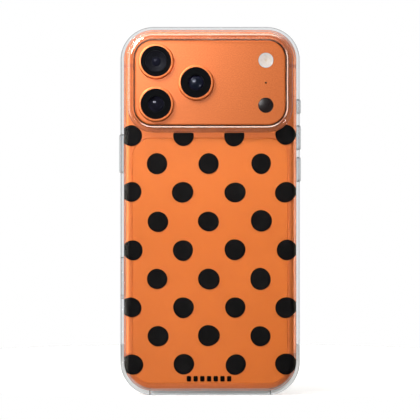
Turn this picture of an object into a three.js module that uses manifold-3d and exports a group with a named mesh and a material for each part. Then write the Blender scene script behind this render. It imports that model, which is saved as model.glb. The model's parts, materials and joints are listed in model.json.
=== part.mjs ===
// A large smartphone held in a clear protective case, built as the separate pieces it comes apart into.
// Millimetres. +Z is the phone's top, -Y is its camera side, +Y its display side, and +X is to the right
// as the camera side is looked at. The origin is on the surface it stands on, under the middle of its box.
import * as THREE from "three";
import { mergeVertices } from "three/addons/utils/BufferGeometryUtils.js";
import Module from "manifold-3d";

const wasm = await Module();
wasm.setup();

// ---------------------------------------------------------------- driving dimensions
const CORNER_STEPS = 8; // straight steps in each quarter turn of a large round corner
const SMALL_CORNER_STEPS = 4; // and of one of under SMALL_CORNER radius
const SMALL_CORNER = 5;
const ROUND_SIDES = 32; // sides of a visible round piece
const SMALL_SIDES = 12; // sides of a small hole or shank
const SLIP = 0.15; // clearance between a piece and the slot it moves in
const SEAM = 0.05; // clearance between two pieces bonded together

const PHONE = { width: 78.0, height: 163.4, corner: 13.3 };
const BACK_Y = -4.375; // the phone's flat back
const FRONT_Y = 4.375; // its display side
const BACK_ROUND = 3.2; // rounding of the frame towards the back
const FRONT_ROUND = 1.3; // and towards the display
const CAVITY = { width: 73.8, height: 159.2, corner: 11.4 };
const CAVITY_BACK_Y = -3.3;
const LEDGE_Y = 3.15; // the display's ledge inside the frame

const PLATEAU = { width: 68.4, height: 38.4, corner: 8.3 };
const PLATEAU_Z = 57.9; // the plateau's middle above the phone's middle
const PLATEAU_Y = -6.875;
const PLATEAU_SKIN = 0.9;
const PLATEAU_POCKET = { width: 63.2, height: 33.2, corner: 3 };

const LENSES = [
  { name: "ultrawide", x: -24.5, z: 9.7 },
  { name: "wide", x: -24.5, z: -9.7 },
  { name: "telephoto", x: -6.4, z: 0 },
];
const RING_RADIUS = 7.9; // outside of a lens ring
const RING_BORE = 6.95; // the seat of its cover glass
const RING_Y = -8.6; // its outer rim
const LENS_HOLE = 6.2; // the hole through the plateau
const RING_SLEEVE = 5.6; // inside of the sleeve that passes through that hole
const LENS_SEAT_Y = -7.9; // the ledge that the cover glass lies on
const BARREL_RADIUS = 4.8; // the moving barrel inside the camera module
const BARREL_BACK_Y = -2.0;
const BARREL_SIDES = 24;
const MODULE_Y = [-5.4, 0.6]; // front and back of a camera module
const SENSOR_X = 25.3; // the column of flash, microphone and depth scanner
const SENSOR_PITCH = 10.2;
const SENSOR_RADIUS = 3.4;
const FLASH_AT = [SENSOR_X, PLATEAU_Z + SENSOR_PITCH];
const MICROPHONE_AT = [SENSOR_X, PLATEAU_Z];
const SCANNER_AT = [SENSOR_X, PLATEAU_Z - SENSOR_PITCH];

const GLASS = { width: 70.5, height: 111.4, corner: 8.5 };
const GLASS_Z = -22.9;
const GLASS_DEPTH = 0.6;
const GLASS_WINDOW = { width: 66, height: 106, corner: 6 };

const INSIDE_Y = -2.6; // the battery, motor and loudspeaker start here, in front of the charging coil
const COIL_Y = -3.75;
const COIL_Z = -4; // the charging coil's middle
const COIL_THICKNESS = 0.55;
const HAPTIC_AT = [-21, -68];

const FIT = 0.35; // between the phone's sides and the case
const WALL = 1.4; // the case's side walls
const TOP_WALL = 1.3; // and its top and bottom walls
const BOTTOM_WALL = 1.95;
const CASE_BACK_Y = -6.0; // the outer face of the case's back
const PANEL_Y = -4.6; // its inner face
const DISH_Y = -3.4; // where the back's turned-up edge ends
const LIP_Y = 5.6; // the lip that stands proud of the display
const RIM_Y = -9.3; // the guard rim round the camera window
const WINDOW_GAP = 0.5; // between the plateau and the camera window
const RIM_WIDTH = 2.9;
const BAND_Z = 65.7; // antenna bands, above and below the phone's middle
const BAND_HEIGHT = 1.5;
const BAND_DEPTH = 0.9;

const CASE = {
  width: PHONE.width + 2 * (FIT + WALL),
  height: PHONE.height + 2 * FIT + TOP_WALL + BOTTOM_WALL,
  corner: PHONE.corner + FIT + WALL,
};

// Every push button: the side it is on, its middle's height and its length. cover is the length of the
// case's pad over it.
const BUTTONS = [
  { name: "side_button", side: -1, z: 25.85, length: 15.6, cover: 17.6 },
  { name: "camera_control", side: -1, z: -30.8, length: 16.4, cover: 0 },
  { name: "action_button", side: 1, z: 47.35, length: 5.2, cover: 6.4 },
  { name: "volume_up", side: 1, z: 33.15, length: 9.4, cover: 11.0 },
  { name: "volume_down", side: 1, z: 18.7, length: 9.4, cover: 11.0 },
];
const BUTTON_WIDTH = 2.9;
const BUTTON_PROUD = 0.2;
const COVER_WIDTH = 5.0;
const COVER_PROUD = 0.65;
const COVER_GAP = 0.3;
const CONTROL_CUTOUT = { length: 19.2, width: 5.6 };

const PORT_CUTOUT = { length: 55.6, width: 6.4 };
const PORT = { width: 9.0, height: 3.3, depth: 7.0, wall: 0.33 };
const SCREW_X = 6.9;
const SPEAKER_HOLES = { first: 10.8, pitch: 2.5, right: 6, left: 3, radius: 0.75 };

// ---------------------------------------------------------------- materials
function material(color, roughness, metalness, opacity = 1) {
  return new THREE.MeshStandardMaterial({ color, roughness, metalness, opacity, transparent: opacity < 1 });
}

const ORANGE_METAL = material(0xe2753a, 0.38, 0.7);
const ORANGE_GLASS = material(0xee8243, 0.45, 0.0);
const ORANGE_BAND = material(0xc4602f, 0.5, 0.0);
const CLEAR_RIGID = material(0xf2f5f6, 0.06, 0.0, 0.3);
const CLEAR_SOFT = material(0xeef3f5, 0.14, 0.0, 0.4);
const BLACK_GLASS = material(0x101114, 0.05, 0.0);
const LENS_GLASS = material(0x14161c, 0.03, 0.0, 0.6);
const LENS_BLACK = material(0x18191b, 0.4, 0.0);
const FLASH_GLASS = material(0xe9e2da, 0.3, 0.0);
const STEEL = material(0xb9bcc0, 0.3, 1.0);
const DARK_STEEL = material(0x55585c, 0.4, 1.0);
const BATTERY_BLACK = material(0x1b1c1e, 0.6, 0.0);
const BOARD_GREEN = material(0x1f3b2c, 0.55, 0.0);
const COPPER = material(0xb5713f, 0.35, 0.9);
const MAGNET = material(0x8c8f93, 0.35, 0.9);
const BLACK_PLASTIC = material(0x222326, 0.6, 0.0);
const SEAL_RUBBER = material(0x0d0d0e, 0.8, 0.0);

// ---------------------------------------------------------------- outlines and bodies
function cornerSteps(corner) {
  return corner < SMALL_CORNER ? SMALL_CORNER_STEPS : CORNER_STEPS;
}

// The points of a round-cornered rectangle in the XZ plane, drawn in by inset.
function outlinePoints({ width, height, corner, steps = cornerSteps(corner) }, inset = 0) {
  const radius = Math.max(corner - inset, 0.01);
  const points = [];
  for (const [sx, sz, start] of [[1, 1, 0], [-1, 1, 1], [-1, -1, 2], [1, -1, 3]]) {
    const cx = sx * (width / 2 - inset - radius);
    const cz = sz * (height / 2 - inset - radius);
    for (let i = 0; i <= steps; i++) {
      const angle = ((start + i / steps) * Math.PI) / 2;
      points.push([cx + radius * Math.cos(angle), cz + radius * Math.sin(angle)]);
    }
  }
  return points;
}

// A closed body through sections of one outline, listed from the lowest y to the highest as { y, inset }.
function loft(outline, sections) {
  const rings = sections.map(({ y, inset }) => outlinePoints(outline, inset).map(([x, z]) => [x, y, z]));
  const count = rings[0].length;
  const last = rings.length - 1;
  const positions = rings.flat(2);
  positions.push(0, sections[0].y, 0, 0, sections[last].y, 0);
  const lowCentre = count * rings.length;
  const highCentre = lowCentre + 1;
  const index = [];
  for (let i = 0; i < count; i++) {
    const next = (i + 1) % count;
    for (let r = 0; r < last; r++) {
      const a = r * count;
      const b = a + count;
      index.push(a + i, b + i, a + next, a + next, b + i, b + next);
    }
    index.push(lowCentre, i, next, highCentre, last * count + next, last * count + i);
  }
  const geometry = new THREE.BufferGeometry();
  geometry.setAttribute("position", new THREE.Float32BufferAttribute(positions, 3));
  geometry.setIndex(index);
  return geometry;
}

function plate(outline, y0, y1) {
  return loft(outline, [{ y: y0, inset: 0 }, { y: y1, inset: 0 }]);
}

// A plate whose edges are chamfered on both faces.
function softPlate(outline, y0, y1, edge) {
  return loft(outline, [
    { y: y0, inset: edge },
    { y: y0 + edge, inset: 0 },
    { y: y1 - edge, inset: 0 },
    { y: y1, inset: edge },
  ]);
}

// Sections round an edge: from a face at y, drawn in by radius, to the full outline at y + depth.
function roundedEdge(y, radius, depth, steps = 4) {
  return Array.from({ length: steps + 1 }, (_, i) => {
    const angle = ((i / steps) * Math.PI) / 2;
    return { y: y + depth * (1 - Math.cos(angle)), inset: radius * (1 - Math.sin(angle)) };
  });
}

function mirrored(sections) {
  return sections.map(({ y, inset }) => ({ y: -y, inset })).reverse();
}

function grown({ width, height, corner }, by) {
  return { width: width + 2 * by, height: height + 2 * by, corner: corner + by };
}

function stadium(length, width) {
  return { width, height: length, corner: width / 2 - 0.02 };
}

function disc(radius, y0, y1, sides = ROUND_SIDES) {
  return new THREE.CylinderGeometry(radius, radius, y1 - y0, sides).translate(0, (y0 + y1) / 2, 0);
}

function box(x0, x1, y0, y1, z0, z1) {
  const geometry = new THREE.BoxGeometry(x1 - x0, y1 - y0, z1 - z0);
  return geometry.translate((x0 + x1) / 2, (y0 + y1) / 2, (z0 + z1) / 2);
}

// A turned piece about the Y axis; profile is a closed loop of [radius, y].
function turned(profile, sides = ROUND_SIDES) {
  return new THREE.LatheGeometry(profile.map(([r, y]) => new THREE.Vector2(r, y)), sides);
}

function annulus(outer, inner, y0, y1, sides = ROUND_SIDES) {
  return turned([[inner, y0], [outer, y0], [outer, y1], [inner, y1], [inner, y0]], sides);
}

// ---------------------------------------------------------------- joining and cutting
function solid(geometry) {
  const plain = new THREE.BufferGeometry();
  plain.setAttribute("position", geometry.getAttribute("position"));
  plain.setIndex(geometry.index);
  const merged = mergeVertices(plain, 1e-4);
  const vertProperties = Float32Array.from(merged.attributes.position.array);
  const triVerts = Uint32Array.from(merged.index.array);
  return new wasm.Manifold(new wasm.Mesh({ numProp: 3, vertProperties, triVerts }));
}

function geometryOf(manifold) {
  const mesh = manifold.getMesh();
  const geometry = new THREE.BufferGeometry();
  geometry.setAttribute("position", new THREE.Float32BufferAttribute(mesh.vertProperties, 3));
  geometry.setIndex(new THREE.BufferAttribute(Uint32Array.from(mesh.triVerts), 1));
  return geometry;
}

function joined(...geometries) {
  return geometryOf(geometries.map(solid).reduce((all, one) => all.add(one)));
}

function cut(geometry, ...tools) {
  return geometryOf(tools.map(solid).reduce((rest, tool) => rest.subtract(tool), solid(geometry)));
}

function common(geometry, tool) {
  return geometryOf(solid(geometry).intersect(solid(tool)));
}

// ---------------------------------------------------------------- the scene graph
const object = new THREE.Group();
const phone = new THREE.Group();
const protector = new THREE.Group();
object.add(phone, protector);
const MIDDLE_Z = BOTTOM_WALL + FIT + PHONE.height / 2;
const MIDDLE_Y = -(RIM_Y + LIP_Y) / 2;
phone.position.set(0, MIDDLE_Y, MIDDLE_Z);
protector.position.copy(phone.position);

function add(group, name, geometry, finish, x = 0, y = 0, z = 0) {
  const mesh = new THREE.Mesh(geometry, finish);
  mesh.name = name;
  mesh.position.set(x, y, z);
  group.add(mesh);
  return mesh;
}

// Turns a piece built along Y so that its +Y end points out of the phone's left (-1) or right (1) side.
function faceSide(mesh, side) {
  mesh.rotation.z = (-side * Math.PI) / 2;
  return mesh;
}

// A cutting tool built along Y, turned to point out of a side and moved to height z.
function sideTool(geometry, side, x, z) {
  return geometry.rotateZ((-side * Math.PI) / 2).translate(side * x, 0, z);
}

// A cutting tool built along Y, turned to point down out of the bottom edge.
function bottomTool(geometry, x, z) {
  return geometry.rotateX(-Math.PI / 2).translate(x, 0, z);
}

// ---------------------------------------------------------------- the phone's frame and covers
function frameBody(extra = 0) {
  const backEdge = roundedEdge(BACK_Y, BACK_ROUND, BACK_ROUND);
  const frontEdge = mirrored(roundedEdge(-FRONT_Y, FRONT_ROUND, FRONT_ROUND, 3));
  const sections = [...backEdge, ...frontEdge];
  return loft(PHONE, sections.map(({ y, inset }) => ({ y, inset: inset + extra })));
}

function plateauBody() {
  const sections = [
    { y: PLATEAU_Y, inset: 0.7 },
    { y: PLATEAU_Y + 0.15, inset: 0.25 },
    { y: PLATEAU_Y + 0.5, inset: 0 },
    { y: BACK_Y - 0.9, inset: 0 },
    { y: BACK_Y - 0.4, inset: -0.12 },
    { y: BACK_Y, inset: -0.6 },
    { y: BACK_Y + 0.9, inset: -0.6 },
  ];
  return loft(PLATEAU, sections).translate(0, 0, PLATEAU_Z);
}

function buttonSlots() {
  const half = PHONE.width / 2;
  return BUTTONS.map(({ side, z, length }) => {
    const slot = plate(stadium(length + 2 * SLIP, BUTTON_WIDTH + 2 * SLIP), -3, 2);
    return sideTool(slot, side, half, z);
  });
}

function speakerHoles() {
  const { first, pitch, right, left, radius } = SPEAKER_HOLES;
  const places = [];
  for (let i = 0; i < right; i++) places.push(first + i * pitch);
  for (let i = 0; i < left; i++) places.push(-first - i * pitch);
  return places.map((x) => bottomTool(disc(radius, -3, 2, SMALL_SIDES), x, -PHONE.height / 2));
}

function portHoles() {
  const bottom = -PHONE.height / 2;
  const opening = { width: PORT.width + 2 * SEAM, height: PORT.height + 2 * SEAM, corner: PORT.height / 2 };
  const holes = [bottomTool(plate(opening, -3, 2), 0, bottom)];
  for (const x of [-SCREW_X, SCREW_X]) {
    holes.push(bottomTool(disc(1.0, -0.8, 2, SMALL_SIDES), x, bottom));
    holes.push(bottomTool(disc(0.65, -3, 0, SMALL_SIDES), x, bottom));
  }
  return holes;
}

function displayPocket() {
  return plate(grown(PHONE, -1.35), LEDGE_Y, FRONT_Y + 1);
}

function bandSlab(side, z, gap) {
  const x0 = side < 0 ? -PHONE.width / 2 - 1 : 30;
  const x1 = side < 0 ? -30 : PHONE.width / 2 + 1;
  return box(x0, x1, BACK_Y - 1, FRONT_Y + 1, z - BAND_HEIGHT / 2 + gap, z + BAND_HEIGHT / 2 - gap);
}

// The ring of material just under the frame's surface at an antenna band, cut into the frame and filled.
function bandRing(side, z, gap) {
  const slab = common(frameBody(), bandSlab(side, z, gap));
  return cut(slab, frameBody(BAND_DEPTH - gap), bandFace(), displayPocket());
}

// The bands run round the frame's sides only, not over its flat back and display ledge.
function bandFace() {
  const flat = PHONE.width / 2 - BACK_ROUND;
  return box(-flat, flat, BACK_Y - 1, FRONT_Y + 1, -PHONE.height / 2, PHONE.height / 2);
}

function unibody() {
  const tools = [
    plate(CAVITY, CAVITY_BACK_Y, FRONT_Y + 1),
    displayPocket(),
    plate(PLATEAU_POCKET, PLATEAU_Y + PLATEAU_SKIN, CAVITY_BACK_Y + 1).translate(0, 0, PLATEAU_Z),
    plate(grown(GLASS, SEAM), BACK_Y - 1, BACK_Y + GLASS_DEPTH).translate(0, 0, GLASS_Z),
    plate(GLASS_WINDOW, BACK_Y - 1, CAVITY_BACK_Y + 1).translate(0, 0, GLASS_Z),
    disc(SENSOR_RADIUS + SEAM, -9, -5, ROUND_SIDES).translate(SENSOR_X, 0, PLATEAU_Z + SENSOR_PITCH),
    disc(SENSOR_RADIUS + SEAM, -9, -5, ROUND_SIDES).translate(SENSOR_X, 0, PLATEAU_Z - SENSOR_PITCH),
    disc(0.45, -9, -5, SMALL_SIDES).translate(SENSOR_X, 0, PLATEAU_Z),
    ...LENSES.map(({ x, z }) => disc(LENS_HOLE, -9, -5).translate(x, 0, PLATEAU_Z + z)),
    ...buttonSlots(),
    ...portHoles(),
    ...speakerHoles(),
  ];
  for (const side of [-1, 1]) {
    for (const z of [-BAND_Z, BAND_Z]) tools.push(bandRing(side, z, 0));
  }
  return cut(joined(frameBody(), plateauBody()), ...tools);
}

add(phone, "unibody_frame", unibody(), ORANGE_METAL);
for (const [side, hand] of [[-1, "left"], [1, "right"]]) {
  add(phone, "antenna_band_upper_" + hand, bandRing(side, BAND_Z, 0.03), ORANGE_BAND);
  add(phone, "antenna_band_lower_" + hand, bandRing(side, -BAND_Z, 0.03), ORANGE_BAND);
}
add(phone, "back_glass", softPlate(GLASS, 0, GLASS_DEPTH - SEAM, 0.12), ORANGE_GLASS, 0, BACK_Y, GLASS_Z);
add(phone, "display_cover_glass", softPlate(grown(PHONE, -1.5), 3.6, FRONT_Y, 0.2), BLACK_GLASS);
add(phone, "display_panel", plate(grown(PHONE, -2.6), 2.55, 3.1), BLACK_PLASTIC);
add(
  phone,
  "display_seal",
  cut(plate(grown(PHONE, -1.5), LEDGE_Y + SEAM, 3.6 - SEAM), plate(grown(PHONE, -2.1), 0, 4)),
  SEAL_RUBBER,
);

// ---------------------------------------------------------------- push buttons and their switches
// A cap that rides in the frame's slot, with a wider flange inside that keeps it from falling out.
function button(length) {
  const half = PHONE.width / 2;
  const cap = loft(stadium(length, BUTTON_WIDTH), [
    { y: -2.6, inset: 0 },
    { y: BUTTON_PROUD - 0.12, inset: 0 },
    { y: BUTTON_PROUD, inset: 0.12 },
  ]);
  const flange = plate(stadium(length + 1.2, BUTTON_WIDTH + 1.2), CAVITY.width / 2 - half - 0.8, -2.25);
  return joined(cap, flange);
}

function dimple(y) {
  return disc(0.9, y, y + 0.35, SMALL_SIDES);
}

for (const { name, side, z, length } of BUTTONS) {
  faceSide(add(phone, name, button(length), ORANGE_METAL, (side * PHONE.width) / 2, 0, z), side);
  const body = joined(plate(stadium(Math.min(length, 7), 2.6), -4.7, -3.5), dimple(-3.55));
  faceSide(add(phone, name + "_switch", body, DARK_STEEL, (side * PHONE.width) / 2, 0, z), side);
}

// ---------------------------------------------------------------- the rear cameras
// A ring that stands on the plateau, seats the cover glass, and reaches through the hole with a sleeve.
function lensRing() {
  const foot = PLATEAU_Y - SEAM;
  const sleeveEnd = PLATEAU_Y + 0.6;
  return turned([
    [RING_SLEEVE, sleeveEnd],
    [RING_SLEEVE, LENS_SEAT_Y],
    [RING_BORE, LENS_SEAT_Y],
    [RING_BORE, RING_Y + 0.2],
    [RING_BORE + 0.2, RING_Y],
    [RING_RADIUS - 0.35, RING_Y],
    [RING_RADIUS, RING_Y + 0.35],
    [RING_RADIUS, foot],
    [LENS_HOLE - 0.1, foot],
    [LENS_HOLE - 0.1, sleeveEnd],
    [RING_SLEEVE, sleeveEnd],
  ]);
}

function lensCover() {
  const radius = RING_BORE - SEAM;
  const back = LENS_SEAT_Y - SEAM;
  const front = back - 0.45;
  return turned([[0, front], [radius - 0.15, front], [radius, front + 0.15], [radius, back], [0, back]]);
}

// The focusing barrel, dished at the front down to its lens.
function lensBarrel() {
  const front = LENS_SEAT_Y + 0.4;
  return turned([
    [0, front + 1.1],
    [1.6, front + 0.95],
    [2.5, front + 1.15],
    [2.6, front + 0.6],
    [4.2, front],
    [BARREL_RADIUS, front],
    [BARREL_RADIUS, BARREL_BACK_Y],
    [0, BARREL_BACK_Y],
  ], BARREL_SIDES);
}

function cameraModule() {
  const housing = { width: 13, height: 13, corner: 2 };
  const bore = disc(BARREL_RADIUS + SLIP, MODULE_Y[0] - 1, BARREL_BACK_Y + 0.4, BARREL_SIDES);
  return cut(softPlate(housing, MODULE_Y[0], MODULE_Y[1], 0.3), bore);
}

function sensorWindow() {
  const size = 2 * SENSOR_RADIUS;
  return softPlate({ width: size, height: size, corner: SENSOR_RADIUS - 0.02, steps: 6 }, 0, 0.8, 0.15);
}

const cameras = new THREE.Group();
cameras.position.z = PLATEAU_Z;
phone.add(cameras);
for (const { name, x, z } of LENSES) {
  add(cameras, name + "_lens_ring", lensRing(), ORANGE_METAL, x, 0, z);
  add(cameras, name + "_cover_glass", lensCover(), LENS_GLASS, x, 0, z);
  add(cameras, name + "_lens_barrel", lensBarrel(), LENS_BLACK, x, 0, z);
  add(cameras, name + "_camera_module", cameraModule(), DARK_STEEL, x, 0, z);
}
add(cameras, "flash_window", sensorWindow(), FLASH_GLASS, SENSOR_X, PLATEAU_Y, SENSOR_PITCH);
add(cameras, "depth_scanner_window", sensorWindow(), BLACK_GLASS, SENSOR_X, PLATEAU_Y, -SENSOR_PITCH);

// ---------------------------------------------------------------- inside the phone
// Plain block pieces: size across, up and through, the middle in x and z, and where the side towards the
// phone's back lies.
const BLOCKS = [
  { name: "camera_bracket", size: [34, 29, 0.5], corner: 3, at: [-15.5, 55.6], y: 0.9, finish: STEEL },
  { name: "flash_led", size: [7, 7, 1.2], corner: 0.5, at: FLASH_AT, y: -5.6, finish: BOARD_GREEN },
  { name: "depth_scanner", size: [8, 8, 3.6], corner: 0.5, at: SCANNER_AT, y: -5.6, finish: DARK_STEEL },
  { name: "rear_microphone", size: [3.6, 2.8, 1], corner: 0.4, at: MICROPHONE_AT, y: -5.7, finish: STEEL },
  { name: "board_shield", size: [24, 21, 1.4], corner: 1, at: [18.5, 57], y: -0.1, finish: STEEL },
  { name: "vapor_chamber", size: [56, 78, 0.55], corner: 4, at: [4, 30], y: 1.65, finish: COPPER },
  { name: "magnet_bar", size: [3, 18, 0.55], corner: 0.3, at: [0, -46], y: COIL_Y, finish: MAGNET },
  { name: "front_camera_module", size: [20, 5.6, 2.2], corner: 1, at: [0, 74.6], y: 0.2, finish: LENS_BLACK },
  { name: "earpiece_speaker", size: [13, 4.6, 2.2], corner: 1, at: [20, 76.6], y: 0.2, finish: STEEL },
  { name: "loudspeaker", size: [25, 14, 4.1], corner: 2, at: [20, -69], y: INSIDE_Y, finish: BLACK_PLASTIC },
];

function block([width, height, thickness], corner, edge = 0.1) {
  return softPlate({ width, height, corner, steps: 2 }, 0, thickness, edge);
}

// The vibration motor: a housing open at one end for its leads, and the weight that slides inside it.
function haptics() {
  const [width, height, thickness] = [26, 12, 4];
  const wall = 0.8;
  const hollow = block([width - 2 * wall, height - 2 * wall, thickness - 2 * wall], 0.5);
  const leads = box(width / 2 - 2 * wall, width / 2 + 1, 1.5, 2.5, -2, 2);
  const housing = cut(block([width, height, thickness], 0.5), hollow.translate(0, wall, 0), leads);
  add(phone, "haptic_housing", housing, STEEL, HAPTIC_AT[0], INSIDE_Y, HAPTIC_AT[1]);
  const weight = block([width - 8, height - 3, thickness - 2 * wall - 0.4], 0.5);
  add(phone, "haptic_weight", weight, DARK_STEEL, HAPTIC_AT[0], INSIDE_Y + wall + 0.2, HAPTIC_AT[1]);
}

// The ring of magnets round the charging coil is open at the bottom, where the coil's leads come out.
function magnetRing() {
  const gap = box(-4, 4, COIL_Y - 1, COIL_Y + 2, -30, 0);
  return cut(annulus(27.8, 23.4, COIL_Y, COIL_Y + COIL_THICKNESS, 40), gap);
}

// The cell, with the tab that its leads leave from.
function battery() {
  return joined(block([66, 88, 4], 2, 0.5), box(-8, 2, 2, 3.2, 43, 46.5));
}

// An L-shaped board that makes room for the cameras.
function logicBoard() {
  return cut(block([30, 36, 1.2], 1), box(-16, -9, -1, 2, -19, -10));
}

haptics();
add(phone, "battery", battery(), BATTERY_BLACK, 0, INSIDE_Y, -8.5);
add(phone, "logic_board", logicBoard(), BOARD_GREEN, 18.5, -1.5, 58);
const coil = annulus(22.5, 9.5, COIL_Y, COIL_Y + COIL_THICKNESS, 36);
add(phone, "charging_coil", coil, COPPER, 0, 0, COIL_Z);
add(phone, "magnet_ring", magnetRing(), MAGNET, 0, 0, COIL_Z);
for (const { name, size, corner, at, y, finish } of BLOCKS) {
  add(phone, name, block(size, corner), finish, at[0], y, at[1]);
}

// ---------------------------------------------------------------- the phone's bottom edge
// A metal tunnel with a closed end and the contact tongue standing in it.
function portReceptacle() {
  const outer = { width: PORT.width, height: PORT.height, corner: PORT.height / 2 - 0.02 };
  const tunnel = cut(plate(outer, -PORT.depth, -0.3), plate(grown(outer, -PORT.wall), 1 - PORT.depth, 1));
  return joined(tunnel, box(-3.3, 3.3, 0.5 - PORT.depth, -1.2, -0.35, 0.35));
}

function bottomScrew() {
  return turned([
    [0, -4.2],
    [0.55, -4.2],
    [0.55, -0.75],
    [0.9, -0.75],
    [0.9, -0.1],
    [0.45, -0.1],
    [0.35, -0.45],
    [0, -0.45],
  ], SMALL_SIDES);
}

const bottomEdge = new THREE.Group();
bottomEdge.position.z = -PHONE.height / 2;
bottomEdge.rotation.x = -Math.PI / 2;
phone.add(bottomEdge);
add(bottomEdge, "port_receptacle", portReceptacle(), STEEL);
add(bottomEdge, "bottom_screw_left", bottomScrew(), STEEL, -SCREW_X);
add(bottomEdge, "bottom_screw_right", bottomScrew(), STEEL, SCREW_X);

// ---------------------------------------------------------------- the clear case
function cameraWindow() {
  return grown(PLATEAU, WINDOW_GAP);
}

// The rigid back: a shallow dish under the phone's rounded back, with a guard rim round the camera window.
function backPanel() {
  const dish = cut(
    loft(PHONE, [
      { y: CASE_BACK_Y, inset: 0.1 },
      { y: CASE_BACK_Y + 0.1, inset: 0 },
      { y: DISH_Y, inset: 0 },
    ]),
    frameBody(-FIT).translate(0, PANEL_Y - BACK_Y, 0),
  );
  const rim = loft(grown(cameraWindow(), RIM_WIDTH), [
    ...roundedEdge(RIM_Y, 1.1, 0.9, 3),
    { y: CASE_BACK_Y - 0.5, inset: 0 },
    { y: CASE_BACK_Y + 0.2, inset: -0.2 },
  ]);
  const window = loft(cameraWindow(), [
    { y: RIM_Y - 1, inset: -0.9 },
    { y: RIM_Y + 0.01, inset: -0.9 },
    { y: RIM_Y + 0.3, inset: -0.35 },
    { y: RIM_Y + 0.9, inset: 0 },
    { y: PANEL_Y - 0.7, inset: 0 },
    { y: PANEL_Y + 0.1, inset: -0.8 },
    { y: 0, inset: -0.8 },
  ]);
  return cut(joined(dish, rim.translate(0, 0, PLATEAU_Z)), window.translate(0, 0, PLATEAU_Z));
}

// The soft bumper: a frame round the phone's sides with a lip in front of the display.
function bumper() {
  const outer = loft(CASE, [
    ...roundedEdge(CASE_BACK_Y, 1.1, 1.7),
    ...mirrored(roundedEdge(-LIP_Y, 0.5, 0.6, 3)),
  ]).translate(0, 0, (TOP_WALL - BOTTOM_WALL) / 2);
  const room = grown(PHONE, FIT);
  const portSlot = { width: PORT_CUTOUT.length, height: PORT_CUTOUT.width, corner: 3 };
  const tools = [
    plate(room, DISH_Y + 0.1, LIP_Y - 0.25),
    loft(room, [
      { y: LIP_Y - 0.3, inset: 0 },
      { y: LIP_Y + 0.1, inset: -0.25 },
      { y: LIP_Y + 1, inset: -0.25 },
    ]),
    plate(grown(PHONE, SEAM), CASE_BACK_Y - 1, DISH_Y + 0.2),
    bottomTool(plate(portSlot, -1, 4), 0, -PHONE.height / 2),
  ];
  for (const { side, z, cover } of BUTTONS) {
    const opening = cover
      ? stadium(cover + 2 * COVER_GAP, COVER_WIDTH + 2 * COVER_GAP)
      : stadium(CONTROL_CUTOUT.length, CONTROL_CUTOUT.width);
    tools.push(sideTool(plate(opening, -1, 5), side, PHONE.width / 2, z));
  }
  return cut(outer, ...tools);
}

// A pad with a narrow rib on its inner face that reaches the phone's own button.
function coverPad(length, buttonLength) {
  const outside = FIT + WALL + COVER_PROUD;
  const pad = loft(stadium(length, COVER_WIDTH), [
    { y: FIT + 0.05, inset: 0 },
    { y: outside - 0.5, inset: 0 },
    { y: outside - 0.15, inset: 0.15 },
    { y: outside, inset: 0.5 },
  ]);
  return joined(pad, plate(stadium(buttonLength - 1, 2), BUTTON_PROUD + SEAM, FIT + 0.3));
}

add(protector, "case_back_panel", backPanel(), CLEAR_RIGID);
add(protector, "case_bumper", bumper(), CLEAR_SOFT);
for (const { name, side, z, length, cover } of BUTTONS.filter((one) => one.cover)) {
  const pad = coverPad(cover, length);
  faceSide(add(protector, name + "_cover", pad, CLEAR_SOFT, (side * PHONE.width) / 2, 0, z), side);
}

export default object;
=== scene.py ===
"""A large orange smartphone in a clear case printed with black dots.

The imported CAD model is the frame; this script builds its fine surfaces and materials around it.
Metres, +Z up. The phone stands on z = 0 with its camera side towards -Y and its display towards +Y."""

import json
import math
import random

import bmesh  # noqa: E402
import bpy  # noqa: E402
from mathutils import Matrix, Vector  # noqa: E402

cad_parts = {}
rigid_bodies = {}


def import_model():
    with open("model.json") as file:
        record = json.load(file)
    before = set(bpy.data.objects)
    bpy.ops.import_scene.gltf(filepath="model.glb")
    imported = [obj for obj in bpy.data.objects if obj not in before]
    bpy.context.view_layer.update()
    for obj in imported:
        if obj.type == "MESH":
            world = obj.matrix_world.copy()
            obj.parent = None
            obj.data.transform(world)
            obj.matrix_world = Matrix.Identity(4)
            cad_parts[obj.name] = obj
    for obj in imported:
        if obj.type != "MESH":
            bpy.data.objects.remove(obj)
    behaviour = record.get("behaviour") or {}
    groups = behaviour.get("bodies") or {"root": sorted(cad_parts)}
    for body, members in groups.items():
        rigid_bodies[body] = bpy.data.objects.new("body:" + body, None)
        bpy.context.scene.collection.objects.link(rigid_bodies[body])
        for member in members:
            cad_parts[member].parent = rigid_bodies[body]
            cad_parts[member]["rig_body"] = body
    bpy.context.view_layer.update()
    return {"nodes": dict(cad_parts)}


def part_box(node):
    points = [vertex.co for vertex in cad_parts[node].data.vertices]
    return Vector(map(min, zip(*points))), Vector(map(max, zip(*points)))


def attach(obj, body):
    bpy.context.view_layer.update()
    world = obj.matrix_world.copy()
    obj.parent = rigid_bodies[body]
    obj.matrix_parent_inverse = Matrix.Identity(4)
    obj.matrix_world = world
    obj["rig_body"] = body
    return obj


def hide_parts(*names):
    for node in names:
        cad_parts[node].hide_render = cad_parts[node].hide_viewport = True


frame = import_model()

# ---- places and sizes, taken from the frame
MM = 0.001
CORNER_STEPS = 20  # steps in each quarter turn of a round-cornered outline
EDGE_STEPS = 7  # steps round a rounded edge
ROUND_SIDES = 96  # sides of a lens or a window
SMALL_SIDES = 24  # sides of a small hole
SHARP = math.radians(33)  # edges that turn by more than this stay sharp
SEED = 7
FIT = 0.35 * MM  # between the phone and the case


def middle(node):
    low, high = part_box(node)
    return (low + high) / 2


def extent(node):
    low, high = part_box(node)
    return high - low


def radius_of(node):
    return extent(node).x / 2


def axis_of(node):
    """Where a round node's axis, along Y, crosses y = 0."""
    return Vector((middle(node).x, 0, middle(node).z))


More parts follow.
